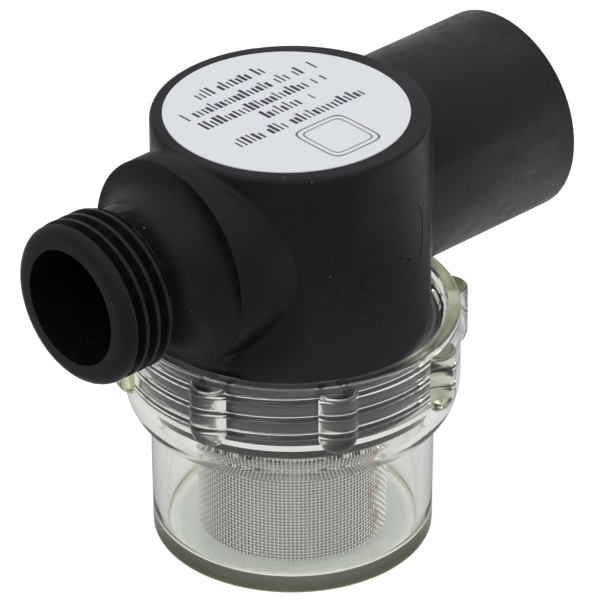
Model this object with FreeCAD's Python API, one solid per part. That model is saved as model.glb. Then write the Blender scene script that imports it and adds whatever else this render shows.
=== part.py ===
# Inline sea water strainer: a moulded flow head with a threaded inlet spigot and a
# threaded outlet socket, and a clear screw-on bowl that holds a woven wire screen.
# Millimetres. The origin is the centre of the bowl's flat base, +Z runs up the bowl's
# axis and +X points the way the water leaves.
import FreeCAD, Part
import math
import os

# ---------------------------------------------------------------- driving dimensions
# Bowl
CUP_BASE_RADIUS = 17.85        # outside of the cup at its foot
CUP_TOP_RADIUS = 18.0          # outside of the cup under the shoulder, with moulding draft
CUP_WALL = 1.75
FLOOR_THICKNESS = 2.3
FOOT_ROUNDING = 0.8            # outer bottom edge
FLOOR_FILLET = 1.2             # inner corner of wall and floor
SHOULDER_HEIGHT = 17.5         # crease between the cup and the shoulder
SHOULDER_RISE = 5.2            # height of the convex shoulder
COLLAR_WALL = 1.8
RIM_HEIGHT = 32.4              # top of the bowl
RIM_CHAMFER = 0.35

# Grip lugs on the collar
LUG_COUNT = 8
LUG_RADIUS = 2.65
LUG_REACH = 1.8                # how far a lug stands out of the collar
LUG_SETBACK = 0.9              # lug top below the rim
LUG_BOTTOM = 22.65             # lowest point of a lug's rounded end
LUG_EDGE = 0.45                # rounding round the top of a lug
LUG_FIRST_ANGLE = 18.0         # degrees from +X to the first lug

# Joint between head and bowl
NOSE_RADIUS = 17.0             # plain nose below the thread, with the O-ring round it
THREAD_STEP = 2.1              # male thread on the head's skirt stands out of the nose
THREAD_CLEARANCE = 0.4         # radial, skirt to collar bore
SHOULDER_FACE_Z = 30.5         # top of the threaded skirt
SKIRT_BOTTOM_Z = 23.9
SKIRT_CHAMFER = 0.6
SEAT_CLEARANCE = 0.3           # skirt's end to the bowl's conical seat
SEAT_DROP = 1.7                # height of that cone
NOSE_LENGTH = 3.3
NOSE_WALL = 2.6
NOSE_CHAMFER = 0.4
NOSE_CLEARANCE = 0.1           # radial, nose to the bowl's guide bore
GUIDE_BORE_DEPTH = 0.1         # the guide bore runs on below the nose by this much
GUIDE_BORE_BLEND = 3.0         # height of the soft blend from the guide bore to the cup
ORING_SECTION = 1.3            # O-ring's cord, in the corner of skirt and nose, over the seat

# Head
DRUM_RADIUS = 17.5
TOP_ROUNDING = 0.6
ROOF_THICKNESS = 2.6
DRUM_WALL = 2.4
BARREL_RADIUS = 13.35
BARREL_CLEARANCE = 0.55        # underside of the barrel above the bowl's rim
BARREL_COVER = 0.05            # drum's top above the crown of the barrel
BARREL_EDGE = 0.25
FLANGE_FACE_X = -20.5
OUTLET_END_X = 36.7
JUNCTION_FILLET = 0.8          # where barrel and drum meet

# Inlet spigot, 1/2-14 straight pipe thread
INLET_LENGTH = 15.9            # flange face to mouth
INLET_BORE_RADIUS = 7.5
PIPE_THREAD_RADIUS = 10.48     # male crest
PIPE_THREAD_LENGTH = 6.2
PILOT_LENGTH = 2.0             # rounded lead-in ahead of the thread
MOUTH_RIM_RADIUS = 8.75        # outside of the flat rim round the mouth
NECK_RADIUS = 9.3
NECK_FILLET = 4.0              # neck to flange
THREAD_RUNOUT = 0.6            # chamfer at the thread's inner end

# Outlet socket and its washer
SOCKET_RADIUS = 9.6            # female thread crest
SOCKET_DEPTH = 14.5
SOCKET_CHAMFER = 0.8
OUTLET_PASSAGE_RADIUS = 6.6
WASHER_THICKNESS = 2.0
WASHER_SEAT_RADIUS = 10.4      # relief behind the thread, which keeps the washer in
WASHER_CLEARANCE = 0.15        # radial, in that relief

# Riser that carries clean water from inside the screen to the outlet
RISER_RADIUS = 11.35
RISER_WALL = 1.9
RISER_BOTTOM_Z = 18.4
RISER_STEP = 1.1               # step that the screen's top end stops against
SCREEN_TOP_Z = 24.2
SCREEN_END_CLEARANCE = 0.1

# Screen
SCREEN_CLEARANCE = 0.3         # radial, riser to screen
WIRE_DIAMETER = 0.24
SCREEN_COLUMNS = 16
SCREEN_ROWS = 6
SCREEN_BAR = 0.8               # solid left between two gaps
SCREEN_HEM = 1.6               # plain band at each end
SCREEN_RIDGE_WIDTH = 0.4       # ridges along the bars, rings outside and uprights inside
SCREEN_RIDGE_HEIGHT = 0.1

# Label
LABEL_MARGIN = 2.15            # bare ring of the drum's top left round the label
LABEL_THICKNESS = 0.12
LABEL_OFFSET = (-0.45, 0.3)

# ------------------------------------------------------------------- derived places
THREAD_MAJOR_RADIUS = NOSE_RADIUS + THREAD_STEP
COLLAR_BORE = THREAD_MAJOR_RADIUS + THREAD_CLEARANCE
COLLAR_RADIUS = COLLAR_BORE + COLLAR_WALL
PORT_AXIS_Z = RIM_HEIGHT + BARREL_CLEARANCE + BARREL_RADIUS
HEAD_TOP = PORT_AXIS_Z + BARREL_RADIUS + BARREL_COVER
LABEL_RADIUS = DRUM_RADIUS - LABEL_MARGIN
GUIDE_BORE = NOSE_RADIUS + NOSE_CLEARANCE
SEAT_TOP_Z = SKIRT_BOTTOM_Z - SEAT_CLEARANCE
NOSE_BOTTOM_Z = SKIRT_BOTTOM_Z - NOSE_LENGTH
GUIDE_BORE_BOTTOM_Z = NOSE_BOTTOM_Z - GUIDE_BORE_DEPTH
INLET_END_X = FLANGE_FACE_X - INLET_LENGTH
SOCKET_FLOOR_X = OUTLET_END_X - SOCKET_DEPTH
CHAMBER_RADIUS = DRUM_RADIUS - DRUM_WALL
NOSE_BORE = NOSE_RADIUS - NOSE_WALL
CHAMBER_TOP_Z = HEAD_TOP - ROOF_THICKNESS
RISER_BORE = RISER_RADIUS - RISER_WALL
SCREEN_INNER = RISER_RADIUS + SCREEN_CLEARANCE
SCREEN_OUTER = SCREEN_INNER + 2 * WIRE_DIAMETER
UP = FreeCAD.Vector(0, 0, 1)
OUT = FreeCAD.Vector(1, 0, 0)
ORIGIN = FreeCAD.Vector(0, 0, 0)


# -------------------------------------------------------------------------- helpers
def edge_between(start, step):
    """One profile edge. A step is (r, z) for a line, or (r, z, via_r, via_z) for an arc."""
    end = FreeCAD.Vector(step[0], 0, step[1])
    if len(step) == 2:
        return Part.LineSegment(start, end).toShape(), end
    via = FreeCAD.Vector(step[2], 0, step[3])
    return Part.Arc(start, via, end).toShape(), end


def turned(steps):
    """Solid of revolution about +Z from a closed outline of (r, z) steps."""
    start = FreeCAD.Vector(steps[0][0], 0, steps[0][1])
    edges = []
    here = start
    for step in steps[1:]:
        edge, here = edge_between(here, step)
        edges.append(edge)
    edges.append(Part.LineSegment(here, start).toShape())
    face = Part.Face(Part.Wire(edges))
    return face.revolve(ORIGIN, UP, 360)


def along_port(solid):
    """Lay a solid made about +Z onto the ports' axis, with its +Z along +X."""
    laid = solid.copy()
    laid.rotate(ORIGIN, FreeCAD.Vector(0, 1, 0), 90)
    laid.translate(FreeCAD.Vector(0, 0, PORT_AXIS_Z))
    return laid


def tube(outer, inner, low, high):
    ring = Part.makeCylinder(outer, high - low, FreeCAD.Vector(0, 0, low))
    return ring.cut(Part.makeCylinder(inner, high - low, FreeCAD.Vector(0, 0, low)))


def arc_point(centre, radius_r, radius_z, degrees):
    """Point of an ellipse in the (r, z) plane."""
    angle = math.radians(degrees)
    return centre[0] + radius_r * math.cos(angle), centre[1] + radius_z * math.sin(angle)


def blend_arcs(start, end):
    """Two equal arcs, upright at both ends, as (r, z, via_r, via_z) steps."""
    half_r = (end[0] - start[0]) / 2
    half_z = (end[1] - start[1]) / 2
    lean = 2 * math.atan(half_r / half_z)
    radius = half_z / math.sin(lean)
    bulge = radius * (1 - math.cos(lean / 2))
    rise = radius * math.sin(lean / 2)
    middle = (start[0] + half_r, start[1] + half_z)
    first = middle + (start[0] + bulge, start[1] + rise)
    second = end + (end[0] - bulge, end[1] - rise)
    return first, second


# ----------------------------------------------------------------------------- bowl
def bowl_profile():
    """Cup, convex shoulder and threaded collar in one section."""
    foot = arc_point((CUP_BASE_RADIUS - FOOT_ROUNDING, FOOT_ROUNDING), FOOT_ROUNDING, FOOT_ROUNDING, -45)
    swell = COLLAR_RADIUS - CUP_TOP_RADIUS
    belly = arc_point((CUP_TOP_RADIUS, SHOULDER_HEIGHT + SHOULDER_RISE), swell, SHOULDER_RISE, -40)
    inside_foot = CUP_BASE_RADIUS - CUP_WALL
    inside_top = CUP_TOP_RADIUS - CUP_WALL
    corner_centre = (inside_foot - FLOOR_FILLET, FLOOR_THICKNESS + FLOOR_FILLET)
    corner = arc_point(corner_centre, FLOOR_FILLET, FLOOR_FILLET, -45)
    blend = blend_arcs((GUIDE_BORE, GUIDE_BORE_BOTTOM_Z), (inside_top, GUIDE_BORE_BOTTOM_Z - GUIDE_BORE_BLEND))
    return [
        (0, 0),
        (CUP_BASE_RADIUS - FOOT_ROUNDING, 0),
        (CUP_BASE_RADIUS, FOOT_ROUNDING, foot[0], foot[1]),
        (CUP_TOP_RADIUS, SHOULDER_HEIGHT),
        (COLLAR_RADIUS, SHOULDER_HEIGHT + SHOULDER_RISE, belly[0], belly[1]),
        (COLLAR_RADIUS, RIM_HEIGHT - RIM_CHAMFER),
        (COLLAR_RADIUS - RIM_CHAMFER, RIM_HEIGHT),
        (COLLAR_BORE + RIM_CHAMFER, RIM_HEIGHT),
        (COLLAR_BORE, RIM_HEIGHT - RIM_CHAMFER),
        (COLLAR_BORE, SEAT_TOP_Z),
        (GUIDE_BORE, SEAT_TOP_Z - SEAT_DROP),
        (GUIDE_BORE, GUIDE_BORE_BOTTOM_Z),
        blend[0],
        blend[1],
        (inside_foot, FLOOR_THICKNESS + FLOOR_FILLET),
        (inside_foot - FLOOR_FILLET, FLOOR_THICKNESS, corner[0], corner[1]),
        (0, FLOOR_THICKNESS),
    ]


def grip_lug():
    """Half-round rib with a ball end below and a softened flat top."""
    top = RIM_HEIGHT - LUG_SETBACK
    ball_z = LUG_BOTTOM + LUG_RADIUS
    post = turned([
        (0, ball_z),
        (LUG_RADIUS, ball_z),
        (LUG_RADIUS, top - LUG_EDGE),
        (LUG_RADIUS - LUG_EDGE, top) + arc_point((LUG_RADIUS - LUG_EDGE, top - LUG_EDGE), LUG_EDGE, LUG_EDGE, 45),
        (0, top),
    ])
    ball = Part.makeSphere(LUG_RADIUS, FreeCAD.Vector(0, 0, ball_z))
    lug = post.fuse(ball)
    lug.translate(FreeCAD.Vector(COLLAR_RADIUS + LUG_REACH - LUG_RADIUS, 0, 0))
    return lug


def make_bowl():
    body = turned(bowl_profile())
    lug_hollow = Part.makeCylinder(COLLAR_BORE + RIM_CHAMFER, RIM_HEIGHT)
    lugs = []
    for index in range(LUG_COUNT):
        lug = grip_lug().cut(lug_hollow)
        lug.rotate(ORIGIN, UP, LUG_FIRST_ANGLE + index * 360.0 / LUG_COUNT)
        lugs.append(lug)
    return body.fuse(lugs).removeSplitter()


# ----------------------------------------------------------------------------- head
def head_casting():
    """Outside of the head: drum and through barrel with a soft blend between them."""
    drum = Part.makeCylinder(DRUM_RADIUS, HEAD_TOP - SHOULDER_FACE_Z, FreeCAD.Vector(0, 0, SHOULDER_FACE_Z))
    rim = [edge for edge in drum.Edges if edge.BoundBox.ZMin > HEAD_TOP - TOP_ROUNDING]
    drum = drum.makeFillet(TOP_ROUNDING, rim)
    barrel_length = OUTLET_END_X - FLANGE_FACE_X
    barrel = Part.makeCylinder(BARREL_RADIUS, barrel_length, FreeCAD.Vector(FLANGE_FACE_X, 0, PORT_AXIS_Z), OUT)
    ends = [edge for edge in barrel.Edges if edge.BoundBox.XLength < BARREL_EDGE]
    barrel = barrel.makeChamfer(BARREL_EDGE, ends)
    casting = drum.fuse(barrel).removeSplitter()
    return casting.makeFillet(JUNCTION_FILLET, junction_edges(casting))


def junction_edges(casting):
    """Edges that lie on both the drum's skin and the barrel's skin."""
    found = []
    for edge in casting.Edges:
        middle = edge.valueAt((edge.FirstParameter + edge.LastParameter) / 2)
        port_reach = math.hypot(middle.y, middle.z - PORT_AXIS_Z)
        on_barrel = abs(port_reach - BARREL_RADIUS) < 0.001
        crosses = edge.BoundBox.XLength > BARREL_EDGE and edge.BoundBox.YLength > BARREL_EDGE
        if on_barrel and crosses:
            found.append(edge)
    return found


def inlet_spigot():
    """Neck, thread and rounded pilot, made about +Z with the mouth at the low end."""
    mouth = INLET_END_X
    thread_start = mouth + PILOT_LENGTH
    thread_end = thread_start + PIPE_THREAD_LENGTH
    flare_start = FLANGE_FACE_X - NECK_FILLET
    runout = PIPE_THREAD_RADIUS - NECK_RADIUS
    pilot_rise = PIPE_THREAD_RADIUS - MOUTH_RIM_RADIUS
    pilot = arc_point((MOUTH_RIM_RADIUS, thread_start), pilot_rise, PILOT_LENGTH, -45)
    flare_centre = (NECK_RADIUS + NECK_FILLET, flare_start)
    flare = arc_point(flare_centre, -NECK_FILLET, NECK_FILLET, 45)
    return turned([
        (0, mouth),
        (MOUTH_RIM_RADIUS, mouth),
        (PIPE_THREAD_RADIUS, thread_start, pilot[0], pilot[1]),
        (PIPE_THREAD_RADIUS, thread_end - THREAD_RUNOUT),
        (PIPE_THREAD_RADIUS - runout, thread_end),
        (NECK_RADIUS, flare_start),
        (NECK_RADIUS + NECK_FILLET, FLANGE_FACE_X, flare[0], flare[1]),
        (0, FLANGE_FACE_X),
    ])


def skirt_and_nose():
    """Threaded skirt with the plain nose below."""
    return turned([
        (NOSE_BORE, NOSE_BOTTOM_Z),
        (NOSE_RADIUS - NOSE_CHAMFER, NOSE_BOTTOM_Z),
        (NOSE_RADIUS, NOSE_BOTTOM_Z + NOSE_CHAMFER),
        (NOSE_RADIUS, SKIRT_BOTTOM_Z),
        (THREAD_MAJOR_RADIUS - SKIRT_CHAMFER, SKIRT_BOTTOM_Z),
        (THREAD_MAJOR_RADIUS, SKIRT_BOTTOM_Z + SKIRT_CHAMFER),
        (THREAD_MAJOR_RADIUS, SHOULDER_FACE_Z),
        (NOSE_BORE, SHOULDER_FACE_Z),
    ])


def raw_water_chamber():
    """Hollow between the drum's wall and the riser, open at the bottom."""
    roof_break = min(DRUM_WALL, ROOF_THICKNESS) / 2
    step_z = SHOULDER_FACE_Z + DRUM_WALL
    return turned([
        (0, NOSE_BOTTOM_Z),
        (NOSE_BORE, NOSE_BOTTOM_Z),
        (NOSE_BORE, step_z - (CHAMBER_RADIUS - NOSE_BORE)),
        (CHAMBER_RADIUS, step_z),
        (CHAMBER_RADIUS, CHAMBER_TOP_Z - roof_break),
        (CHAMBER_RADIUS - roof_break, CHAMBER_TOP_Z),
        (0, CHAMBER_TOP_Z),
    ])


def riser():
    """Upright tube under the roof, with the step that the screen stops against."""
    stop_z = SCREEN_TOP_Z + SCREEN_END_CLEARANCE
    return turned([
        (0, RISER_BOTTOM_Z),
        (RISER_RADIUS, RISER_BOTTOM_Z),
        (RISER_RADIUS, stop_z),
        (RISER_RADIUS + RISER_STEP, stop_z),
        (RISER_RADIUS + RISER_STEP, CHAMBER_TOP_Z),
        (0, CHAMBER_TOP_Z),
    ])


def outlet_bridge():
    """Tube that carries the clean water across the chamber to the socket."""
    outer = OUTLET_PASSAGE_RADIUS + RISER_WALL
    return Part.makeCylinder(outer, SOCKET_FLOOR_X, FreeCAD.Vector(0, 0, PORT_AXIS_Z), OUT)


def outlet_core():
    """Threaded socket, washer seat and passage back to the riser."""
    core = turned([
        (0, 0),
        (OUTLET_PASSAGE_RADIUS, 0),
        (OUTLET_PASSAGE_RADIUS, SOCKET_FLOOR_X),
        (WASHER_SEAT_RADIUS, SOCKET_FLOOR_X),
        (WASHER_SEAT_RADIUS, SOCKET_FLOOR_X + WASHER_THICKNESS),
        (SOCKET_RADIUS, SOCKET_FLOOR_X + WASHER_THICKNESS),
        (SOCKET_RADIUS, OUTLET_END_X - SOCKET_CHAMFER),
        (SOCKET_RADIUS + SOCKET_CHAMFER, OUTLET_END_X),
        (0, OUTLET_END_X),
    ])
    return along_port(core)


def make_head():
    outside = head_casting().fuse([along_port(inlet_spigot()), skirt_and_nose()])
    inlet = Part.makeCylinder(INLET_BORE_RADIUS, -INLET_END_X, FreeCAD.Vector(INLET_END_X, 0, PORT_AXIS_Z), OUT)
    shell = outside.cut([raw_water_chamber(), inlet])
    shell = shell.fuse([riser(), outlet_bridge()])
    riser_top = PORT_AXIS_Z + OUTLET_PASSAGE_RADIUS
    clean_water = Part.makeCylinder(RISER_BORE, riser_top - RISER_BOTTOM_Z, FreeCAD.Vector(0, 0, RISER_BOTTOM_Z))
    return shell.cut([clean_water, outlet_core()]).removeSplitter()


# ------------------------------------------------------------- screen, seals, label
def make_screen():
    """Woven sleeve: a thin wall with rows of gaps, rings round it and uprights inside."""
    low = FLOOR_THICKNESS
    high = SCREEN_TOP_Z
    wall_outer = SCREEN_OUTER - SCREEN_RIDGE_HEIGHT
    wall_inner = SCREEN_INNER + SCREEN_RIDGE_HEIGHT
    row_pitch = (high - low - 2 * SCREEN_HEM) / SCREEN_ROWS
    gap_width = 2 * math.pi * SCREEN_INNER / SCREEN_COLUMNS - SCREEN_BAR
    gap_height = row_pitch - SCREEN_BAR
    gaps = []
    uprights = []
    for column in range(SCREEN_COLUMNS):
        angle = column * 360.0 / SCREEN_COLUMNS
        for row in range(SCREEN_ROWS):
            gap_low = low + SCREEN_HEM + row * row_pitch + SCREEN_BAR / 2
            gap = Part.makeBox(SCREEN_OUTER, gap_width, gap_height, FreeCAD.Vector(0, -gap_width / 2, gap_low))
            gap.rotate(ORIGIN, UP, angle)
            gaps.append(gap)
        upright = tube(SCREEN_OUTER - SCREEN_RIDGE_HEIGHT, SCREEN_INNER, low, high).common(Part.makeBox(
            SCREEN_OUTER, SCREEN_RIDGE_WIDTH, high - low, FreeCAD.Vector(0, -SCREEN_RIDGE_WIDTH / 2, low)))
        upright.rotate(ORIGIN, UP, angle + 180.0 / SCREEN_COLUMNS)
        uprights.append(upright)
    rings = []
    for row in range(SCREEN_ROWS + 1):
        ring_z = low + SCREEN_HEM + row * row_pitch
        half = SCREEN_RIDGE_WIDTH / 2
        rings.append(tube(SCREEN_OUTER, wall_inner, ring_z - half, ring_z + half))
    sleeve = tube(wall_outer, wall_inner, low, high).cut(gaps)
    return sleeve.fuse(uprights + rings).removeSplitter()


def make_head_oring():
    cord = ORING_SECTION / 2
    return Part.makeTorus(NOSE_RADIUS + cord, cord, FreeCAD.Vector(0, 0, SKIRT_BOTTOM_Z - cord))


def make_outlet_washer():
    outer = WASHER_SEAT_RADIUS - WASHER_CLEARANCE
    return along_port(tube(outer, OUTLET_PASSAGE_RADIUS, SOCKET_FLOOR_X, SOCKET_FLOOR_X + WASHER_THICKNESS))


def make_label():
    seat = FreeCAD.Vector(LABEL_OFFSET[0], LABEL_OFFSET[1], HEAD_TOP)
    return Part.makeCylinder(LABEL_RADIUS, LABEL_THICKNESS, seat)


# ---------------------------------------------------------------------------- build
NODES = {
    "head": make_head,
    "bowl": make_bowl,
    "screen": make_screen,
    "head_oring": make_head_oring,
    "outlet_washer": make_outlet_washer,
    "label": make_label,
}

os.makedirs("parts", exist_ok=True)
for name, make in NODES.items():
    shape = make()
    shape.exportStep(os.path.join("parts", name + ".step"))
    print(name, "solids", len(shape.Solids), "valid", shape.isValid(), "volume", round(shape.Volume, 1))
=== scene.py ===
# Looks of the sea water strainer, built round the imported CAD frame. Metres, unless a name
# or a heading says millimetres.
import bmesh
import bpy
import math
from mathutils import Matrix, Vector


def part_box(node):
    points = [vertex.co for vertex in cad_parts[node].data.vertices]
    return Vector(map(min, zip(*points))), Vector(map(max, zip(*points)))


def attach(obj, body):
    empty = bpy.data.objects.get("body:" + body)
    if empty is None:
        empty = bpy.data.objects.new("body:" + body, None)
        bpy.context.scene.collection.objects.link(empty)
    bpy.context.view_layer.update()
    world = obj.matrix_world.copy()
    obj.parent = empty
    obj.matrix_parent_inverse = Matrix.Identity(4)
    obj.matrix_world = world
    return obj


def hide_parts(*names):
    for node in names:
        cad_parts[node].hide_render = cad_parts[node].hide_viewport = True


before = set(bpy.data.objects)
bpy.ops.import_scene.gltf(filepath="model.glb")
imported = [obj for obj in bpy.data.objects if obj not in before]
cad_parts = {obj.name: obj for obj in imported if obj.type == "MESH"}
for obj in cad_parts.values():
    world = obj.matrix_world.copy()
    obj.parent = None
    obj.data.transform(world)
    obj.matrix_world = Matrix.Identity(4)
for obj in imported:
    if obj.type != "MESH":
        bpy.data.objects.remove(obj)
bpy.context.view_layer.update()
MM = 0.001

# ------------------------------------------------------------------ places in the frame
BOWL_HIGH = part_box("bowl")[1]
SCREEN_LOW, SCREEN_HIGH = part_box("screen")
PORT_AXIS_Z = 46.3 * MM
DRUM_RADIUS = 17.5 * MM

# Threads, in millimetres: radii, pitch, first and last place along the axis, how far the
# cutter reaches past the crest, and its width there. Fade is the share of the length in
# which the groove runs out at each end. Fullness is 1 for a cosine's flanks, less for fatter.
INLET_THREAD = {
    "crest": 10.48, "root": 9.25, "pitch": 1.814, "start": -35.35, "end": -27.0,
    "over": 0.4, "width": 1.5, "fade": 0.03, "fullness": 0.75}
SOCKET_THREAD = {
    "crest": 9.6, "root": 10.7, "pitch": 1.814, "start": 25.6, "end": 38.4,
    "over": -0.4, "width": 1.5, "fade": 0.03, "fullness": 0.75}
SKIRT_THREAD = {
    "crest": 19.1, "root": 18.1, "pitch": 2.54, "start": 21.6, "end": 32.2,
    "over": 0.4, "width": 1.7, "fade": 0.06, "fullness": 0.75}
STEPS_PER_TURN = 72
THREAD_PHASE = math.radians(-132.7)    # where the bowl's ridge stands at RIDGE_Z
RIDGE_Z = 24.7

# Bowl, in millimetres
CUP_BASE_R = 17.85
CUP_TOP_R = 18.0
CUP_WALL = 1.75
FOOT_ROUND = 0.8
FLOOR_Z = 1.7
FLOOR_ROUND = 1.2
SHOULDER_Z = 17.5
SHOULDER_RISE = 5.2
GUIDE_BORE = 17.1
GUIDE_BOTTOM_Z = 20.5
GUIDE_BLEND = 3.0
SEAT_TOP_Z = 23.6
SEAT_DROP = 1.7
COLLAR_R = 21.3
COLLAR_BORE = 19.5
RIM_Z = BOWL_HIGH.z / MM
RIM_ROUND = 0.35
RIM_OVERSHOOT = 0.5                    # how far the hollow is carried above the rim
LUG_COUNT = 8
LUG_R = 2.65
LUG_REACH = 1.8                        # how far the lugs stand out from the collar
LUG_CENTRE = COLLAR_R + LUG_REACH - LUG_R
TOP_DROP = 0.9                         # lugs and ridge stop this far below the rim
LUG_TOP = RIM_Z - TOP_DROP
LUG_BOTTOM = 22.65
LUG_EDGE = 0.45
LUG_FIRST = math.radians(18)
RIDGE_HEIGHT = 0.9
RIDGE_THREAD = {
    "crest": COLLAR_BORE, "root": COLLAR_BORE - RIDGE_HEIGHT, "pitch": SKIRT_THREAD["pitch"],
    "start": 24.0, "end": RIM_Z - TOP_DROP,
    "over": 0.3, "width": 1.25, "fade": 0.03, "fullness": 0.35}

# Woven screen, in millimetres
WIRE_R = 0.115
UPRIGHT_SWING = 1.2                    # swing of the weave, in wire radii
RING_SWING = 0.7
MESH_R = SCREEN_HIGH.x / MM - (1 + UPRIGHT_SWING) * WIRE_R
MESH_COLUMNS = 148
MESH_ROWS = 50
MESH_SINK = 0.6                        # how far the wires reach below the CAD screen
WIRE_SIDES = 5
SEAM_ANGLE = math.radians(-76)

# Raised marks on the drum's front, in millimetres, as (along the front, height)
MARK_CENTRE_Z = 46.4
MARK_RING_R = 7.75
MARK_LINE_R = 0.13
MARK_SPACING = 0.4
ARROW = ((-4.0, 43.5), (2.4, 43.5), (2.9, 42.9), (4.6, 44.3), (2.3, 45.5), (2.4, 44.9), (-4.0, 44.9))
RING_THINNING = 0.6
RING_LAST_DEGREE = 354
RING_SIDES = 59

# Print on the label, in millimetres: rows as (y, first x, last x)
LABEL_ROWS = (
    (10.45, -6.5, 4.4), (7.2, -11.2, 10.2), (4.1, -10.9, 8.8), (1.35, -4.9, 4.4), (-2.0, -11.6, 10.2))
ROW_SLANT = 0.026
TICK_PITCH = 0.74
TICK_LOW = 1.5
TICK_TALL = 2.2
TICK_EDGE = 0.12
TICK_GAPS = 0.13                       # share of places left empty
FRAME_CENTRE = (-0.1, -8.6)
FRAME_HALF = (3.9, 4.1)
FRAME_ROUND = 2.5
FRAME_LINES = ((0.0, 0.9), (0.75, 0.75))    # inset and ink of each line

# Facets
LATHE_SEGMENTS = 256
LUG_SEGMENTS = 72
LONGEST_RUN = 2.0                      # longest straight run of a lathed outline, in millimetres
WELD = 0.001 * MM
HEAD_SMOOTH = 32                       # faces at less than this many degrees look smooth
BOWL_SMOOTH = 35

# Zones of the materials, in millimetres: where each starts and where it is complete
PAST_DRUM = (17.6, 17.9)
BELOW_FLANGE = (31.9, 32.4)
SEAM_HALF = 0.03
SEAM_SOFT = 0.05
FOOT_HEIGHTS = (0.6, 3.2)
FOOT_RADII = (CUP_BASE_R - 1.6, CUP_BASE_R - 0.4)
FOOT_MATT = (0.2, 0.5)
INSIDE_HEIGHTS = (FLOOR_Z + 0.3, FLOOR_Z + 1.2)
INSIDE_RADII = (CUP_BASE_R - 3.5, CUP_BASE_R - 1.8)
LUG_TINTED = (COLLAR_R + 0.1, COLLAR_R + 0.6)
LUG_MATT = (COLLAR_R, COLLAR_R + 0.4)
FLAT_HALF = 0.03
FLAT_SOFT = 0.03
OPEN_FROM = (12.0, 17.5)
CROWN_RADII = (MESH_R - 0.3 * WIRE_R, MESH_R + 1.5 * WIRE_R)

# Heights of the bumps, in millimetres
TOOTH_HEIGHT = 0.0022
SEAM_HEIGHT = 0.03
BOWL_RIPPLE = 0.05
RUBBER_GRAIN = 0.01
FILM_RIPPLE = 0.03

# Looks
BLACK_DEEP = (0.0035, 0.004, 0.0048, 1)
BLACK_RUBBED = (0.0085, 0.0092, 0.0105, 1)
# The colour below is a painted sheen on the skirt's thread
THREAD_SHEEN = (0.09, 0.095, 0.105, 1)
DUST = (0.25, 0.27, 0.28, 1)
UNTINTED = (1, 1, 1, 1)
# The colour below is the thick plastic's tint, deepened into painted shade for the foot
THICK_TINT_AND_SHADE = (0.42, 0.5, 0.27, 1)
THICK_LUG = 0.12                       # share of the thick tint that the lugs take
# The two colours below are painted reflections on the flat tops of the rim and lugs
FLAT_REFLECTION_DARK = (0.03, 0.036, 0.034, 1)
FLAT_REFLECTION_PALE = (0.78, 0.81, 0.58, 1)
OPEN_SIDE = (0.735, -0.678)            # direction of the side that shows no dark plastic
# The colour below is painted shadow on the bowl's inner floor
INNER_FLOOR_SHADOW = (0.72, 0.75, 0.74, 1)
BODY_TINT = (0.88, 0.92, 0.6, 1)
BODY_DENSITY = 22.0
PASSING_TINT = (0.95, 0.96, 0.92, 1)
FOOT_ROUGHNESS = 0.2
FLAT_ROUGHNESS = 0.3
LUG_ROUGHNESS = 0.12
TRAPPED_REFLECTIONS = 3
WIRE_SHADED = (0.03, 0.029, 0.026, 1)
WIRE_DULL = (0.92, 0.91, 0.86, 1)
WIRE_BRIGHT = (1.0, 0.99, 0.95, 1)
SEAM_BROWN = (0.42, 0.25, 0.12, 1)
RUBBER_DARK = (0.008, 0.008, 0.008, 1)
RUBBER_LIGHT = (0.018, 0.018, 0.017, 1)
FILM_LOW = (0.88, 0.9, 0.94, 1)
FILM_HIGH = (0.92, 0.93, 0.96, 1)
INK = (0.03, 0.03, 0.055, 1)

# Stage, world and lamps
FLOOR_SIZE = 6.0
FLOOR_GAP = 0.05 * MM
FLOOR_GREY = (0.5, 0.5, 0.5, 1)
FLOOR_GLOW = 0.75
FLOOR_GLOSS = 0.25
FLOOR_GLOSS_REACH = 0.08
FLOOR_THROUGH = 0.4
WORLD_COLOUR = (0.95, 0.97, 1.0, 1)
WORLD_FILL = 0.4
WORLD_THROUGH = 0.95
WORLD_GLOSS = 0.78
WORLD_GLOSS_LOW = 0.45
LAMP_TARGET = (0, 0, 0.035)
LAMPS = (                              # name, place, size and watts
    ("key", (-0.55, -0.1, 0.75), (0.5, 0.5), 2.7),
    ("right", (0.55, -0.25, 0.3), (0.25, 0.5), 1.7),
    ("back", (0.1, 0.6, 0.5), (0.5, 0.3), 0.5))

# Camera
VIEW_AZIMUTH = math.radians(-42.69)
VIEW_ELEVATION = math.radians(30.78)
VIEW_ROLL = math.radians(-0.2355)
VIEW_TARGET = Vector((0.769, -0.709, 32.602)) * MM
VIEW_DISTANCE = 0.754
VIEW_LENS = 360.0


# --------------------------------------------------------------------- mesh helpers
def link(mesh, name):
    obj = bpy.data.objects.new(name, mesh)
    bpy.context.scene.collection.objects.link(obj)
    return obj


def freeze(obj):
    """Swap an object's modifiers for the plain mesh they make."""
    graph = bpy.context.evaluated_depsgraph_get()
    mesh = bpy.data.meshes.new_from_object(obj.evaluated_get(graph), depsgraph=graph)
    obj.modifiers.clear()
    old = obj.data
    obj.data = mesh
    bpy.data.meshes.remove(old)
    return obj


def combine(base, other, operation):
    """Boolean of two closed meshes. The second object is used up."""
    step = base.modifiers.new(operation, "BOOLEAN")
    step.operation = operation
    step.solver = "MANIFOLD"
    step.object = other
    freeze(base)
    bpy.data.objects.remove(other)
    return base


def smooth_by_angle(obj, degrees):
    mesh = obj.data
    mesh.shade_smooth()
    mesh.set_sharp_from_angle(angle=math.radians(degrees))


def face_out(obj, weld=0.0):
    """Turn every face outwards, after joining vertices that are closer than weld."""
    bm = bmesh.new()
    bm.from_mesh(obj.data)
    if weld:
        bmesh.ops.remove_doubles(bm, verts=bm.verts, dist=weld)
    bmesh.ops.recalc_face_normals(bm, faces=bm.faces)
    bm.to_mesh(obj.data)
    bm.free()


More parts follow.
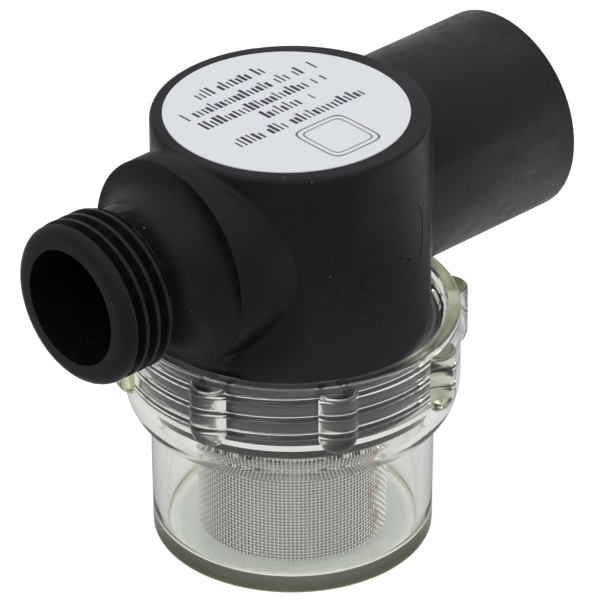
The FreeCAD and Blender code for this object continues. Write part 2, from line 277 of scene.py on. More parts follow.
def arc(centre_r, centre_z, radius_r, radius_z, first, last, count):
    """Points of an elliptic arc in the (r, z) plane, both ends kept."""
    points = []
    for index in range(count + 1):
        angle = math.radians(first + (last - first) * index / count)
        points.append((centre_r + radius_r * math.cos(angle), centre_z + radius_z * math.sin(angle)))
    return points


def soft_step(start, end, count):
    """Points of an S from one radius to another, upright at both ends."""
    points = []
    for index in range(count + 1):
        share = index / count
        ease = share * share * (3 - 2 * share)
        points.append((start[0] + (end[0] - start[0]) * ease, start[1] + (end[1] - start[1]) * share))
    return points


def divided(points, longest):
    """The same outline with no straight run over the given length."""
    out = [points[0]]
    for here, there in zip(points, points[1:]):
        parts = max(1, math.ceil(math.dist(here, there) / longest))
        for part in range(1, parts + 1):
            share = part / parts
            out.append((here[0] + (there[0] - here[0]) * share, here[1] + (there[1] - here[1]) * share))
    return out


def lathe(points, segments, name):
    """Closed solid of revolution from (r, z) points in millimetres, both ends on the axis."""
    bm = bmesh.new()
    rings = []
    for r, z in points:
        if r < 1e-6:
            rings.append([bm.verts.new((0, 0, z * MM))])
            continue
        ring = []
        for index in range(segments):
            angle = 2 * math.pi * index / segments
            ring.append(bm.verts.new((r * MM * math.cos(angle), r * MM * math.sin(angle), z * MM)))
        rings.append(ring)
    for low, high in zip(rings, rings[1:]):
        for index in range(segments):
            after = (index + 1) % segments
            if len(low) == 1:
                bm.faces.new((low[0], high[after], high[index]))
            elif len(high) == 1:
                bm.faces.new((low[index], low[after], high[0]))
            else:
                bm.faces.new((low[index], low[after], high[after], high[index]))
    bmesh.ops.recalc_face_normals(bm, faces=bm.faces)
    mesh = bpy.data.meshes.new(name)
    bm.to_mesh(mesh)
    bm.free()
    return link(mesh, name)

# ---------------------------------------------------------------------- node helpers
class Tree:
    """Short hand for filling a node tree."""

    def __init__(self, tree):
        self.tree = tree

    def add(self, kind, inputs=None, **settings):
        node = self.tree.nodes.new(kind)
        for key, value in settings.items():
            setattr(node, key, value)
        for key, value in (inputs or {}).items():
            self.feed(node.inputs[key], value)
        return node

    def feed(self, target, value):
        if isinstance(value, bpy.types.NodeSocket):
            self.tree.links.new(value, target)
        else:
            target.default_value = value

    def math(self, operation, *values):
        node = self.tree.nodes.new("ShaderNodeMath")
        node.operation = operation
        for target, value in zip(node.inputs, values):
            self.feed(target, value)
        return node.outputs[0]

    def ramp(self, value, low, high, out_low=0.0, out_high=1.0):
        inputs = {"Value": value, "From Min": low, "From Max": high, "To Min": out_low, "To Max": out_high}
        return self.add("ShaderNodeMapRange", inputs, interpolation_type="SMOOTHSTEP").outputs["Result"]

    def zone(self, value, ends, out_low=0.0, out_high=1.0):
        """A ramp between two places in millimetres."""
        return self.ramp(value, ends[0] * MM, ends[1] * MM, out_low, out_high)

    def band(self, value, centre, half, soft):
        """1 within half of the centre, falling to 0 over the soft distance."""
        away = self.math("ABSOLUTE", self.math("SUBTRACT", value, centre))
        return self.ramp(self.math("SUBTRACT", away, half), 0.0, soft, 1.0, 0.0)

    def mix(self, factor, first, second):
        node = self.add("ShaderNodeMix", data_type="RGBA")
        for index, value in ((0, factor), (6, first), (7, second)):
            self.feed(node.inputs[index], value)
        return node.outputs[2]

    def noise(self, place, scale, detail, distortion=0.0):
        inputs = {"Vector": place, "Scale": scale, "Detail": detail, "Distortion": distortion}
        return self.add("ShaderNodeTexNoise", inputs).outputs["Fac"]

    def split(self, vector):
        return self.add("ShaderNodeSeparateXYZ", {0: vector}).outputs

    def join(self, **parts):
        return self.add("ShaderNodeCombineXYZ", parts).outputs[0]

    def radius(self, spot):
        """Distance of a split place from the Z axis."""
        squares = [self.math("MULTIPLY", spot[axis], spot[axis]) for axis in "XY"]
        return self.math("SQRT", self.math("ADD", *squares))

    def turn(self, spot):
        """Angle of a split place round the Z axis."""
        return self.math("ARCTAN2", spot["Y"], spot["X"])


def socket(tree, name, kind, direction, value=None):
    item = tree.interface.new_socket(name=name, in_out=direction, socket_type="NodeSocket" + kind)
    if value is not None:
        item.default_value = value


def set_input(modifier, name, value):
    for item in modifier.node_group.interface.items_tree:
        if item.item_type == "SOCKET" and item.in_out == "INPUT" and item.name == name:
            modifier[item.identifier] = value
            return
    raise KeyError(name)


def grow(tree, inputs, name, mesh=None):
    """Run a geometry tree on a mesh, or on nothing, and keep what it makes as a plain mesh."""
    obj = link(mesh or bpy.data.meshes.new(name), name)
    modifier = obj.modifiers.new("make", "NODES")
    modifier.node_group = tree
    for key, value in inputs.items():
        set_input(modifier, key, value)
    return freeze(obj)


# ------------------------------------------------------------------- geometry trees
def geometry_tree(name, inputs):
    """A geometry tree with its named inputs, as (name, kind, default), and a material."""
    tree = bpy.data.node_groups.new(name, "GeometryNodeTree")
    for label, kind, value in inputs:
        socket(tree, label, kind, "INPUT", value)
    socket(tree, "Material", "Material", "INPUT")
    socket(tree, "Geometry", "Geometry", "OUTPUT")
    t = Tree(tree)
    return tree, t, t.add("NodeGroupInput").outputs


def sweep(t, curve, section, material, smooth):
    """Sweep a section along a curve, and end the tree with the solid that makes."""
    made = t.add("GeometryNodeCurveToMesh", {"Curve": curve, "Profile Curve": section, "Fill Caps": True})
    if smooth:
        made = t.add("GeometryNodeSetShadeSmooth", {"Geometry": made.outputs[0]})
    real = t.add("GeometryNodeRealizeInstances", {"Geometry": made.outputs[0]})
    dressed = t.add("GeometryNodeSetMaterial", {"Geometry": real.outputs[0], "Material": material})
    t.add("NodeGroupOutput", {"Geometry": dressed.outputs[0]})


def helix_tree():
    """A closed rib along a helix round +Z, which runs out at both ends."""
    tree, t, given = geometry_tree("helical_rib", (
        ("Base Radius", "Float", 0.01), ("Tip Radius", "Float", 0.009), ("Base Width", "Float", 0.0015),
        ("Pitch", "Float", 0.002), ("Turns", "Float", 3.0), ("Start Z", "Float", 0.0),
        ("Start Angle", "Float", 0.0), ("Fade", "Float", 0.05), ("Fullness", "Float", 0.75),
        ("Steps", "Int", 300)))
    line = t.add("GeometryNodeCurvePrimitiveLine", {"End": (0, 0, 1)})
    points = t.add("GeometryNodeResampleCurve", {"Curve": line.outputs["Curve"], "Count": given["Steps"]})
    along = t.add("GeometryNodeSplineParameter").outputs["Factor"]
    turns = t.math("MULTIPLY", along, given["Turns"])
    angle = t.math("ADD", t.math("MULTIPLY", turns, 2 * math.pi), given["Start Angle"])
    height = t.math("MULTIPLY_ADD", turns, given["Pitch"], given["Start Z"])
    ends = t.math("MINIMUM", along, t.math("SUBTRACT", 1.0, along))
    sunk = t.ramp(ends, 0.0, given["Fade"], 1.0, 0.0)
    depth = t.math("SUBTRACT", given["Base Radius"], given["Tip Radius"])
    radius = t.math("MULTIPLY_ADD", depth, sunk, given["Base Radius"])
    place = t.join(X=t.math("MULTIPLY", radius, t.math("COSINE", angle)),
                   Y=t.math("MULTIPLY", radius, t.math("SINE", angle)), Z=height)
    helix = t.add("GeometryNodeSetPosition", {"Geometry": points.outputs["Curve"], "Position": place})
    steady = t.add("GeometryNodeSetCurveNormal", {"Curve": helix.outputs["Geometry"]}, mode="Z_UP")

    # Section: eleven points over the base's width, with flanks that follow a cosine
    section = t.add("GeometryNodeCurvePrimitiveLine", {"End": (1, 0, 0)})
    corners = t.add("GeometryNodeResampleCurve", {"Curve": section.outputs["Curve"], "Count": 11})
    index = t.add("GeometryNodeInputIndex").outputs[0]
    side = t.math("SUBTRACT", t.math("DIVIDE", index, 5.0), 1.0)
    reach = t.math("COSINE", t.math("MULTIPLY", side, math.pi / 2))
    flank = t.math("POWER", reach, given["Fullness"])
    spread = t.math("MULTIPLY", side, t.math("MULTIPLY", given["Base Width"], 0.5))
    out = t.math("MULTIPLY", t.math("MULTIPLY", depth, -1.0), flank)
    bent = t.add("GeometryNodeSetPosition", {
        "Geometry": corners.outputs["Curve"], "Position": t.join(X=out, Y=spread)})
    ring = t.add("GeometryNodeSetSplineCyclic", {"Geometry": bent.outputs["Geometry"], "Cyclic": True})
    sweep(t, steady.outputs["Curve"], ring.outputs["Geometry"], given["Material"], False)
    return tree


def woven_tree():
    """Round wires of one direction in a plain weave on a cylinder round +Z."""
    tree, t, given = geometry_tree("woven_wires", (
        ("Radius", "Float", 0.012), ("Low Z", "Float", 0.0), ("High Z", "Float", 0.02),
        ("Wire Radius", "Float", 0.0001), ("Swing", "Float", 1.0), ("Columns", "Int", 148),
        ("Rows", "Int", 50), ("Sides", "Int", 5), ("Rings", "Bool", False)))
    span = t.math("SUBTRACT", given["High Z"], given["Low Z"])
    row_pitch = t.math("DIVIDE", span, given["Rows"])
    column_turn = t.math("DIVIDE", 2 * math.pi, given["Columns"])

    upright = t.add("GeometryNodeCurvePrimitiveLine", {
        "Start": t.join(Z=given["Low Z"]), "End": t.join(Z=given["High Z"])})
    upright = t.add("GeometryNodeResampleCurve", {
        "Curve": upright.outputs["Curve"], "Count": t.math("MULTIPLY_ADD", given["Rows"], 2.0, 1.0)})
    upright = t.add("GeometryNodeTransform", {
        "Geometry": upright.outputs["Curve"], "Translation": t.join(X=given["Radius"])})
    stations = t.add("GeometryNodeMeshLine", {"Count": given["Columns"], "Offset": (0, 0, 0)})
    station = t.add("GeometryNodeInputIndex").outputs[0]
    uprights = t.add("GeometryNodeInstanceOnPoints", {
        "Points": stations.outputs["Mesh"], "Instance": upright.outputs[0],
        "Rotation": t.join(Z=t.math("MULTIPLY", station, column_turn))})

    circle = t.add("GeometryNodeCurvePrimitiveCircle", {
        "Resolution": t.math("MULTIPLY", given["Columns"], 2.0), "Radius": given["Radius"]})
    levels = t.add("GeometryNodeMeshLine", {
        "Count": given["Rows"], "Offset": t.join(Z=row_pitch),
        "Start Location": t.join(Z=t.math("MULTIPLY_ADD", row_pitch, 0.5, given["Low Z"]))})
    rings = t.add("GeometryNodeInstanceOnPoints", {
        "Points": levels.outputs["Mesh"], "Instance": circle.outputs["Curve"]})

    chosen = t.add("GeometryNodeSwitch", {
        "Switch": given["Rings"], "False": uprights.outputs[0], "True": rings.outputs[0]},
        input_type="GEOMETRY")
    real = t.add("GeometryNodeRealizeInstances", {"Geometry": chosen.outputs[0]})

    # Weave: each crossing pushes uprights and rings to opposite sides
    spot = t.split(t.add("GeometryNodeInputPosition").outputs[0])
    column = t.math("DIVIDE", t.turn(spot), column_turn)
    rise = t.math("DIVIDE", t.math("SUBTRACT", spot["Z"], given["Low Z"]), row_pitch)
    crossing = t.math("ADD", column, t.math("SUBTRACT", rise, 0.5))
    wave = t.math("COSINE", t.math("MULTIPLY", crossing, math.pi))
    side = t.math("MULTIPLY_ADD", given["Rings"], -2.0, 1.0)
    reach = t.math("MULTIPLY", given["Swing"], given["Wire Radius"])
    swing = t.math("MULTIPLY", t.math("MULTIPLY", wave, side), reach)
    outward = t.add("ShaderNodeVectorMath", {0: t.join(X=spot["X"], Y=spot["Y"])}, operation="NORMALIZE")
    push = t.add("ShaderNodeVectorMath", {0: outward.outputs[0], "Scale": swing}, operation="SCALE")
    woven = t.add("GeometryNodeSetPosition", {"Geometry": real.outputs[0], "Offset": push.outputs[0]})
    section = t.add("GeometryNodeCurvePrimitiveCircle", {
        "Resolution": given["Sides"], "Radius": given["Wire Radius"]})
    sweep(t, woven.outputs[0], section.outputs["Curve"], given["Material"], True)
    return tree


def raised_line_tree():
    """A round raised line that wraps a flat outline, drawn in X and Z, round the drum's front."""
    tree, t, given = geometry_tree("raised_line", (
        ("Outline", "Geometry", None), ("Drum Radius", "Float", 0.0175),
        ("Line Radius", "Float", 0.0001), ("Spacing", "Float", 0.0004)))
    curve = t.add("GeometryNodeMeshToCurve", {"Mesh": given["Outline"]})
    even = t.add("GeometryNodeResampleCurve", {
        "Curve": curve.outputs["Curve"], "Length": given["Spacing"]}, mode="LENGTH")
    spot = t.split(t.add("GeometryNodeInputPosition").outputs[0])
    angle = t.math("DIVIDE", spot["X"], given["Drum Radius"])
    across = t.math("MULTIPLY", t.math("SINE", angle), given["Drum Radius"])
    ahead = t.math("MULTIPLY", t.math("MULTIPLY", t.math("COSINE", angle), given["Drum Radius"]), -1.0)
    laid = t.add("GeometryNodeSetPosition", {
        "Geometry": even.outputs["Curve"], "Position": t.join(X=across, Y=ahead, Z=spot["Z"])})
    section = t.add("GeometryNodeCurvePrimitiveCircle", {"Resolution": 8, "Radius": given["Line Radius"]})
    sweep(t, laid.outputs[0], section.outputs["Curve"], given["Material"], True)
    return tree


# ------------------------------------------------------------------- shared effects
def effect(name, outputs):
    """A shader node group that is given a place and puts out the named numbers."""
    tree = bpy.data.node_groups.new(name, "ShaderNodeTree")
    socket(tree, "Place", "Vector", "INPUT")
    for label in outputs:
        socket(tree, label, "Float", "OUTPUT")
    t = Tree(tree)
    return tree, t, t.add("NodeGroupInput").outputs["Place"]


def moulded_effect():
    """Skin of a satin moulding: fine tooth, uneven gloss and stray dust."""
    tree, t, place = effect("moulded_skin", ("Shade", "Gloss", "Height", "Dust"))
    tooth = t.noise(place, 2600.0, 3.0)
    flow = t.noise(place, 140.0, 5.0)
    rubbed = t.ramp(t.noise(place, 620.0, 6.0, 1.2), 0.5, 0.68)
    cells = t.add("ShaderNodeTexVoronoi", {"Vector": place, "Scale": 520.0})
    tint = t.add("ShaderNodeSeparateColor", {"Color": cells.outputs["Color"]}).outputs[0]
    few = t.math("GREATER_THAN", tint, 0.8)
    speck = t.math("LESS_THAN", cells.outputs["Distance"], t.ramp(tint, 0.8, 1.0, 0.025, 0.06))
    t.add("NodeGroupOutput", {
        "Shade": t.math("MULTIPLY_ADD", rubbed, 0.6, t.math("MULTIPLY", flow, 0.5)),
        "Gloss": t.math("MULTIPLY_ADD", rubbed, 0.12, t.ramp(flow, 0.3, 0.7, 0.28, 0.4)),
        "Height": tooth,
        "Dust": t.math("MULTIPLY", few, speck)})
    return tree


def tick_row(t, number, x, level, row_y, first, last):
    """One row of upright ticks, from hairline to bold and of two heights."""
    cell = t.math("DIVIDE", t.math("SUBTRACT", x, first), TICK_PITCH)
    seed = t.math("ADD", t.math("FLOOR", cell), 37.0 * number)
    chance = t.add("ShaderNodeTexWhiteNoise", {"W": seed}, noise_dimensions="1D").outputs["Value"]
    boldness = t.math("FRACT", t.math("MULTIPLY", chance, 7.0))
    stroke = t.band(t.math("FRACT", cell), 0.5, t.ramp(boldness, 0.2, 0.9, 0.14, 0.3), 0.1)
    tall = t.ramp(chance, 0.55, 0.8, TICK_LOW, TICK_TALL)
    base = row_y - TICK_TALL / 2
    above = t.ramp(t.math("SUBTRACT", level, base), 0.0, TICK_EDGE)
    below = t.ramp(t.math("SUBTRACT", t.math("ADD", tall, base), level), 0.0, TICK_EDGE)
    wide = t.math("MULTIPLY", t.ramp(x, first - 0.1, first), t.ramp(x, last, last + 0.1, 1.0, 0.0))
    kept = t.math("GREATER_THAN", chance, TICK_GAPS)
    return t.math("MULTIPLY", t.math("MULTIPLY", stroke, t.math("MULTIPLY", above, below)),
                  t.math("MULTIPLY", wide, kept))


def print_effect():
    """Rows of plain upright ticks and an empty double frame: print with no words in it."""
    tree, t, place = effect("label_print", ("Ink",))
    spot = t.split(place)
    x = t.math("MULTIPLY", spot["X"], 1000.0)
    y = t.math("MULTIPLY", spot["Y"], 1000.0)
    level = t.math("MULTIPLY_ADD", x, ROW_SLANT, y)
    marks = [tick_row(t, number, x, level, *row) for number, row in enumerate(LABEL_ROWS)]
    for inset, strength in FRAME_LINES:
        away = [t.math("SUBTRACT", t.math("ABSOLUTE", t.math("SUBTRACT", value, centre)), half - inset)
                for value, centre, half in zip((x, y), FRAME_CENTRE, FRAME_HALF)]
        edge = t.band(t.math("SMOOTH_MAX", *away, FRAME_ROUND - inset), 0.0, 0.06, 0.08)
        marks.append(t.math("MULTIPLY", edge, strength))
    ink = marks[0]
    for mark in marks[1:]:
        ink = t.math("MAXIMUM", ink, mark)
    t.add("NodeGroupOutput", {"Ink": ink})
    return tree


# ------------------------------------------------------------------------ materials
def material(name):
    mat = bpy.data.materials.new(name)
    mat.use_nodes = True
    mat.node_tree.nodes.clear()
    t = Tree(mat.node_tree)
    return mat, t, t.add("ShaderNodeTexCoord").outputs["Object"]


def use(t, group, place):
    node = t.add("ShaderNodeGroup", node_tree=group)
    t.feed(node.inputs["Place"], place)
    return node.outputs


def bump(t, height, distance):
    inputs = {"Height": height, "Distance": distance, "Strength": 1.0}
    return t.add("ShaderNodeBump", inputs).outputs[0]


def black_plastic():
    """Satin black moulding, with its parting line and a painted sheen that lightens each turn of the skirt's
    thread.
    """
    mat, t, place = material("black_plastic_look")
    skin = use(t, MOULDED, place)
    spot = t.split(place)
    seam = t.band(spot["Y"], 0.0, SEAM_HALF * MM, SEAM_SOFT * MM)
    line = t.math("MULTIPLY", seam, t.zone(t.math("ABSOLUTE", spot["X"]), PAST_DRUM))
    shade = t.mix(skin["Shade"], BLACK_DEEP, BLACK_RUBBED)
    # Painted sheen: the skirt's thread is lighter just above where the bowl's ridge sits, and darkens over
    # each turn.
    turn = t.math("DIVIDE", t.math("SUBTRACT", t.turn(spot), THREAD_PHASE), 2 * math.pi)
    climb = t.math("DIVIDE", t.math("SUBTRACT", spot["Z"], RIDGE_Z * MM), SKIRT_THREAD["pitch"] * MM)
    over_ridge = t.math("FRACT", t.math("SUBTRACT", climb, turn))
    skirt = t.math("MULTIPLY", t.zone(t.radius(spot), PAST_DRUM), t.zone(spot["Z"], BELOW_FLANGE, 1.0, 0.0))
    painted_sheen = t.math("MULTIPLY", skirt, t.ramp(over_ridge, 0.1, 0.95, 1.0, 0.15))
    shade = t.mix(painted_sheen, shade, THREAD_SHEEN)
    height = t.math("ADD", t.math("MULTIPLY", skin["Height"], TOOTH_HEIGHT * MM),
                    t.math("MULTIPLY", line, SEAM_HEIGHT * MM))
    shader = t.add("ShaderNodeBsdfPrincipled", {
        "Base Color": t.mix(skin["Dust"], shade, DUST), "Roughness": skin["Gloss"], "IOR": 1.5,
        "Specular IOR Level": 0.3, "Normal": bump(t, height, 1.0)})
    t.add("ShaderNodeOutputMaterial", {"Surface": shader.outputs[0]})
    return mat


def clear_plastic():
    """Clear moulding, greener where it is thick, with painted shade in the foot, painted shadow on the inner
    floor, and matt flats with a painted reflection that is dark but pale on the open side. Trapped light
    passes out.
    """
    mat, t, place = material("clear_plastic_look")
    flow = t.noise(place, 110.0, 1.0)
    scuff = t.noise(place, 900.0, 4.0)
    spot = t.split(place)
    radius = t.radius(spot)

    # Thick plastic's tint, partly painted shade: the foot, and more faintly the lugs, are coloured darker and
    # greener.
    foot = t.math("MULTIPLY", t.zone(spot["Z"], FOOT_HEIGHTS, 1.0, 0.0), t.zone(radius, FOOT_RADII))
    lug = t.math("MULTIPLY", t.zone(radius, LUG_TINTED), THICK_LUG)
    tinted = t.mix(t.math("MAXIMUM", foot, lug), UNTINTED, THICK_TINT_AND_SHADE)

    # Painted reflection: the upward flats of the rim and lug tops are coloured dark for the dark plastic seen
    # in them, and pale towards the open side.
    levels = [t.band(spot["Z"], level * MM, FLAT_HALF * MM, FLAT_SOFT * MM) for level in (RIM_Z, LUG_TOP)]
    normal = t.split(t.add("ShaderNodeNewGeometry").outputs["Normal"])
    upward = t.math("GREATER_THAN", t.math("ABSOLUTE", normal["Z"]), 0.97)
    flats = t.math("MULTIPLY", t.math("MAXIMUM", *levels), upward)
    across = t.math("MULTIPLY_ADD", spot["X"], OPEN_SIDE[0], t.math("MULTIPLY", spot["Y"], OPEN_SIDE[1]))
    painted_flat_reflection = t.mix(t.zone(across, OPEN_FROM), FLAT_REFLECTION_DARK, FLAT_REFLECTION_PALE)
    tinted = t.mix(flats, tinted, painted_flat_reflection)

    # Painted shadow: the bowl's inner floor is tinted grey.
    inside = t.math("MULTIPLY", t.zone(spot["Z"], INSIDE_HEIGHTS, 1.0, 0.0),
                    t.zone(radius, INSIDE_RADII, 1.0, 0.0))
    tinted = t.mix(inside, tinted, INNER_FLOOR_SHADOW)

    rough = t.ramp(scuff, 0.5, 0.8, 0.01, 0.09)
    for patch in (t.zone(spot["Z"], FOOT_MATT, FOOT_ROUGHNESS, 0.0),
                  t.math("MULTIPLY", flats, FLAT_ROUGHNESS),
                  t.zone(radius, LUG_MATT, 0.0, LUG_ROUGHNESS)):
        rough = t.math("MAXIMUM", rough, patch)
    shader = t.add("ShaderNodeBsdfPrincipled", {
        "Base Color": tinted, "Metallic": 0.0, "Transmission Weight": 1.0, "IOR": 1.5,
        "Roughness": rough, "Normal": bump(t, flow, BOWL_RIPPLE * MM)})
    through = t.add("ShaderNodeBsdfTransparent", {"Color": PASSING_TINT})
    path = t.add("ShaderNodeLightPath").outputs
    trapped = t.math("GREATER_THAN", path["Glossy Depth"], TRAPPED_REFLECTIONS - 0.5)
    passing = t.math("MAXIMUM", path["Is Shadow Ray"], trapped)
    mixed = t.add("ShaderNodeMixShader", {0: passing, 1: shader.outputs[0], 2: through.outputs[0]})
    body = t.add("ShaderNodeVolumeAbsorption", {"Color": BODY_TINT, "Density": BODY_DENSITY})
    t.add("ShaderNodeOutputMaterial", {"Surface": mixed.outputs[0], "Volume": body.outputs[0]})
    return mat


def steel_mesh():
    """Bright wires, with painted shade where they dip into the weave, and a brown stain along the seam."""
    mat, t, place = material("steel_mesh_look")
    spot = t.split(place)
    seam = t.band(t.turn(spot), SEAM_ANGLE, 0.03, 0.12)
    blotch = t.noise(place, 420.0, 3.0)
    stain = t.math("MULTIPLY", seam, t.ramp(blotch, 0.35, 0.65))
    # Painted shade: the wires darken from their crowns down into the weave.
    crown = t.zone(t.radius(spot), CROWN_RADII)
    grey = t.mix(crown, WIRE_SHADED, t.mix(blotch, WIRE_DULL, WIRE_BRIGHT))
    shader = t.add("ShaderNodeBsdfPrincipled", {
        "Base Color": t.mix(t.math("MULTIPLY", stain, 0.75), grey, SEAM_BROWN), "Metallic": 1.0,
        "Roughness": t.ramp(blotch, 0.3, 0.7, 0.34, 0.5)})
    t.add("ShaderNodeOutputMaterial", {"Surface": shader.outputs[0]})
    return mat


def seal_rubber():
    mat, t, place = material("seal_rubber_look")
    grain = t.noise(place, 1500.0, 3.0)
    shader = t.add("ShaderNodeBsdfPrincipled", {
        "Base Color": t.mix(grain, RUBBER_DARK, RUBBER_LIGHT),
        "Roughness": t.ramp(grain, 0.3, 0.7, 0.5, 0.7), "Normal": bump(t, grain, RUBBER_GRAIN * MM)})
    t.add("ShaderNodeOutputMaterial", {"Surface": shader.outputs[0]})
    return mat


def label_film():
    mat, t, place = material("label_film_look")
    ink = use(t, PRINT, place)["Ink"]
    wave = t.noise(place, 120.0, 2.0)
    shader = t.add("ShaderNodeBsdfPrincipled", {
        "Base Color": t.mix(ink, t.mix(wave, FILM_LOW, FILM_HIGH), INK),
        "Roughness": t.ramp(wave, 0.3, 0.7, 0.42, 0.5), "Normal": bump(t, wave, FILM_RIPPLE * MM)})
    t.add("ShaderNodeOutputMaterial", {"Surface": shader.outputs[0]})
    return mat


def floor_white():
    """Pale floor that reads as plain white round the object and still takes its shadow."""
    mat, t, place = material("floor_white")
    base = t.add("ShaderNodeBsdfDiffuse", {"Color": FLOOR_GREY})
    path = t.add("ShaderNodeLightPath").outputs
    sheen = t.ramp(t.split(place)["X"], 0.0, FLOOR_GLOSS_REACH, 0.0, FLOOR_GLOSS)
    seen = t.math("MAXIMUM", t.math("MULTIPLY", path["Is Camera Ray"], FLOOR_GLOW),
                  t.math("MULTIPLY", path["Is Transmission Ray"], FLOOR_THROUGH))
    seen = t.math("MAXIMUM", seen, t.math("MULTIPLY", path["Is Glossy Ray"], sheen))
    glow = t.add("ShaderNodeEmission", {"Color": (1, 1, 1, 1), "Strength": seen})
    lit = t.add("ShaderNodeAddShader", {0: base.outputs[0], 1: glow.outputs[0]})
    t.add("ShaderNodeOutputMaterial", {"Surface": lit.outputs[0]})
    return mat


MOULDED = moulded_effect()
PRINT = print_effect()
BLACK = black_plastic()
CLEAR = clear_plastic()
STEEL = steel_mesh()
RUBBER = seal_rubber()
FILM = label_film()
HELIX = helix_tree()
WOVEN = woven_tree()
RAISED_LINE = raised_line_tree()


# ----------------------------------------------------------------------------- head
def paint(obj, mat):
    obj.data.materials.clear()
    obj.data.materials.append(mat)


def thread_rib(thread, name, start_angle=0.0):
    """A thread's ridge along +Z, closed, to cut grooves with."""
    turns = (thread["end"] - thread["start"]) / thread["pitch"]
    rib = grow(HELIX, {
        "Base Radius": (thread["crest"] + thread["over"]) * MM, "Tip Radius": thread["root"] * MM,
        "Base Width": thread["width"] * MM, "Pitch": thread["pitch"] * MM, "Turns": turns,
        "Start Z": thread["start"] * MM, "Start Angle": start_angle, "Fade": thread["fade"],
        "Fullness": thread["fullness"], "Steps": int(turns * STEPS_PER_TURN), "Material": BLACK}, name)
    face_out(rib)
    return rib


def lay_along_port(obj):
    obj.data.transform(Matrix.Translation((0, 0, PORT_AXIS_Z)) @ Matrix.Rotation(math.pi / 2, 4, "Y"))


def ridge_angle(z):
    """Where the bowl's thread stands at a height, which the head's grooves share."""
    return THREAD_PHASE + 2 * math.pi * (z - RIDGE_Z) / SKIRT_THREAD["pitch"]


def build_head():
    """The moulded head with its three threads cut."""
    head = link(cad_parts["head"].data.copy(), "head_moulding")
    face_out(head, WELD)
    inlet = thread_rib(INLET_THREAD, "inlet_cut")
    outlet = thread_rib(SOCKET_THREAD, "outlet_cut")
    skirt = thread_rib(SKIRT_THREAD, "skirt_cut", ridge_angle(SKIRT_THREAD["start"]))
    lay_along_port(inlet)
    lay_along_port(outlet)
    for cutter in (inlet, outlet, skirt):
        combine(head, cutter, "DIFFERENCE")
    paint(head, BLACK)
    smooth_by_angle(head, HEAD_SMOOTH)
    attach(head, "head")
    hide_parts("head")


def build_drum_mark(name, outline, line_radius):
    """A closed raised line on the drum's front, from (along the front, height) points."""
    bm = bmesh.new()
    corners = [bm.verts.new((x * MM, 0, z * MM)) for x, z in outline]
    for here, there in zip(corners, corners[1:] + corners[:1]):
        bm.edges.new((here, there))
    mesh = bpy.data.meshes.new(name)
    bm.to_mesh(mesh)
    bm.free()
    mark = grow(RAISED_LINE, {
        "Drum Radius": DRUM_RADIUS, "Line Radius": line_radius * MM, "Spacing": MARK_SPACING * MM,
        "Material": BLACK}, name, mesh)
    face_out(mark)
    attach(mark, "head")


# ----------------------------------------------------------------------------- bowl
def bowl_outside():
    foot_r = CUP_BASE_R - FOOT_ROUND
    outline = [(0, 0)]
    outline += arc(foot_r, FOOT_ROUND, FOOT_ROUND, FOOT_ROUND, -90, 0, 8)
    outline += [(CUP_TOP_R, SHOULDER_Z)]
    outline += arc(CUP_TOP_R, SHOULDER_Z + SHOULDER_RISE, COLLAR_R - CUP_TOP_R, SHOULDER_RISE, -88, 0, 20)
    outline += arc(COLLAR_R - RIM_ROUND, RIM_Z - RIM_ROUND, RIM_ROUND, RIM_ROUND, 0, 90, 5)
    outline += [(0, RIM_Z)]
    return divided(outline, LONGEST_RUN)


def bowl_hollow():
    """The space inside the bowl, carried a little above the rim."""
    foot_r = CUP_BASE_R - CUP_WALL
    blend_start = (CUP_TOP_R - CUP_WALL, GUIDE_BOTTOM_Z - GUIDE_BLEND)
    rim_r = COLLAR_BORE + RIM_ROUND
    top_z = RIM_Z + RIM_OVERSHOOT
    outline = [(0, FLOOR_Z)]
    outline += arc(foot_r - FLOOR_ROUND, FLOOR_Z + FLOOR_ROUND, FLOOR_ROUND, FLOOR_ROUND, -90, 0, 8)
    outline += soft_step(blend_start, (GUIDE_BORE, GUIDE_BOTTOM_Z), 16)
    outline += [(GUIDE_BORE, SEAT_TOP_Z - SEAT_DROP), (COLLAR_BORE, SEAT_TOP_Z)]
    outline += arc(rim_r, RIM_Z - RIM_ROUND, -RIM_ROUND, RIM_ROUND, 0, 90, 5)
    outline += [(rim_r, top_z), (0, top_z)]
    return divided(outline, LONGEST_RUN)


def grip_lug(index):
    outline = arc(0, LUG_BOTTOM + LUG_R, LUG_R, LUG_R, -90, 0, 16)
    outline += arc(LUG_R - LUG_EDGE, LUG_TOP - LUG_EDGE, LUG_EDGE, LUG_EDGE, 0, 90, 6)
    outline += [(0, LUG_TOP)]
    lug = lathe(outline, LUG_SEGMENTS, "lug")
    lug.data.transform(Matrix.Rotation(LUG_FIRST + index * 2 * math.pi / LUG_COUNT, 4, "Z")
                       @ Matrix.Translation((LUG_CENTRE * MM, 0, 0)))
    return lug


def build_bowl():
    """Clear bowl: outside with its lugs, less the hollow, which leaves the thread's ridge standing."""
    bowl = lathe(bowl_outside(), LATHE_SEGMENTS, "bowl_clear")
    for index in range(LUG_COUNT):
        combine(bowl, grip_lug(index), "UNION")
    hollow = lathe(bowl_hollow(), LATHE_SEGMENTS, "hollow")
    ridge = thread_rib(RIDGE_THREAD, "ridge", ridge_angle(RIDGE_THREAD["start"]))
    combine(hollow, ridge, "DIFFERENCE")
    combine(bowl, hollow, "DIFFERENCE")
    paint(bowl, CLEAR)
    smooth_by_angle(bowl, BOWL_SMOOTH)
    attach(bowl, "bowl")
    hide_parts("bowl")


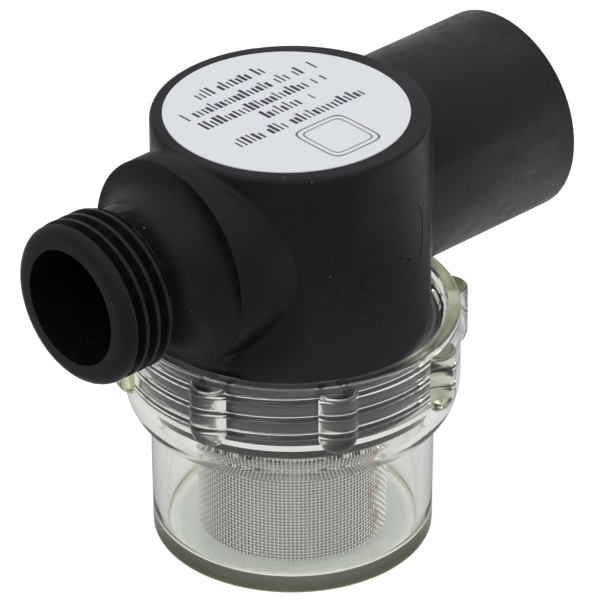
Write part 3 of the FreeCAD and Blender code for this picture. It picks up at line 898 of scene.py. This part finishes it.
# --------------------------------------------------------------------------- screen
def build_screen():
    """Two sets of wires woven over and under each other, down to the visual bowl's floor."""
    shared = {
        "Radius": MESH_R * MM, "Low Z": SCREEN_LOW.z - MESH_SINK * MM, "High Z": SCREEN_HIGH.z,
        "Wire Radius": WIRE_R * MM, "Columns": MESH_COLUMNS, "Rows": MESH_ROWS, "Sides": WIRE_SIDES,
        "Material": STEEL}
    for name, rings, swing in (("screen_uprights", False, UPRIGHT_SWING), ("screen_rings", True, RING_SWING)):
        wires = grow(WOVEN, dict(shared, Rings=rings, Swing=swing), name)
        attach(wires, "screen")
        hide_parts("screen")


# ------------------------------------------------------------ stage, lights, camera
def build_stage():
    bpy.ops.mesh.primitive_plane_add(size=FLOOR_SIZE, location=(0, 0, -FLOOR_GAP))
    floor = bpy.context.object
    floor.name = "floor"
    paint(floor, floor_white())


def build_world():
    """White to the camera, and softer, graded from overhead down, to what reflects it."""
    world = bpy.data.worlds.new("studio")
    bpy.context.scene.world = world
    world.use_nodes = True
    world.node_tree.nodes.clear()
    t = Tree(world.node_tree)
    path = t.add("ShaderNodeLightPath").outputs
    height = t.split(t.add("ShaderNodeTexCoord").outputs["Generated"])["Z"]
    overhead = t.ramp(height, 0.15, 0.9, WORLD_GLOSS_LOW, WORLD_GLOSS)
    strength = t.math("MAXIMUM", path["Is Camera Ray"], WORLD_FILL)
    for ray, level in (("Is Transmission Ray", WORLD_THROUGH), ("Is Glossy Ray", overhead)):
        strength = t.math("MAXIMUM", t.math("MULTIPLY", path[ray], level), strength)
    sky = t.add("ShaderNodeBackground", {"Color": WORLD_COLOUR, "Strength": strength})
    t.add("ShaderNodeOutputWorld", {"Surface": sky.outputs[0]})


def build_lamp(name, place, size, power):
    data = bpy.data.lights.new(name, "AREA")
    data.shape = "RECTANGLE"
    data.size, data.size_y = size
    data.energy = power
    lamp = bpy.data.objects.new(name, data)
    bpy.context.scene.collection.objects.link(lamp)
    lamp.visible_glossy = False
    lamp.location = place
    lamp.rotation_euler = (Vector(LAMP_TARGET) - Vector(place)).to_track_quat("-Z", "Y").to_euler()


def build_camera():
    a, e = VIEW_AZIMUTH, VIEW_ELEVATION
    back = Vector((math.sin(a) * math.cos(e), -math.cos(a) * math.cos(e), math.sin(e)))
    right = Vector((math.cos(a), math.sin(a), 0))
    up = back.cross(right)
    right = right * math.cos(VIEW_ROLL) + up * math.sin(VIEW_ROLL)
    up = back.cross(right)
    data = bpy.data.cameras.new("camera")
    data.lens = VIEW_LENS
    data.sensor_width = 36.0
    data.clip_start = 0.01
    camera = bpy.data.objects.new("camera", data)
    bpy.context.scene.collection.objects.link(camera)
    turn = Matrix((right, up, back)).transposed().to_4x4()
    camera.matrix_world = Matrix.Translation(VIEW_TARGET + back * VIEW_DISTANCE) @ turn
    bpy.context.scene.camera = camera


# ---------------------------------------------------------------------------- build
build_head()
build_drum_mark("flow_arrow", ARROW, MARK_LINE_R)
MARK_RING = arc(0, MARK_CENTRE_Z, MARK_RING_R, MARK_RING_R, 0, RING_LAST_DEGREE, RING_SIDES)
build_drum_mark("insert_line", MARK_RING, MARK_LINE_R * RING_THINNING)
build_bowl()
build_screen()
for node, mat in (("head_oring", RUBBER), ("outlet_washer", RUBBER), ("label", FILM)):
    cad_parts[node].material_slots[0].material = mat
build_stage()
build_world()
for lamp in LAMPS:
    build_lamp(*lamp)
build_camera()
bpy.context.scene.view_settings.view_transform = "Standard"
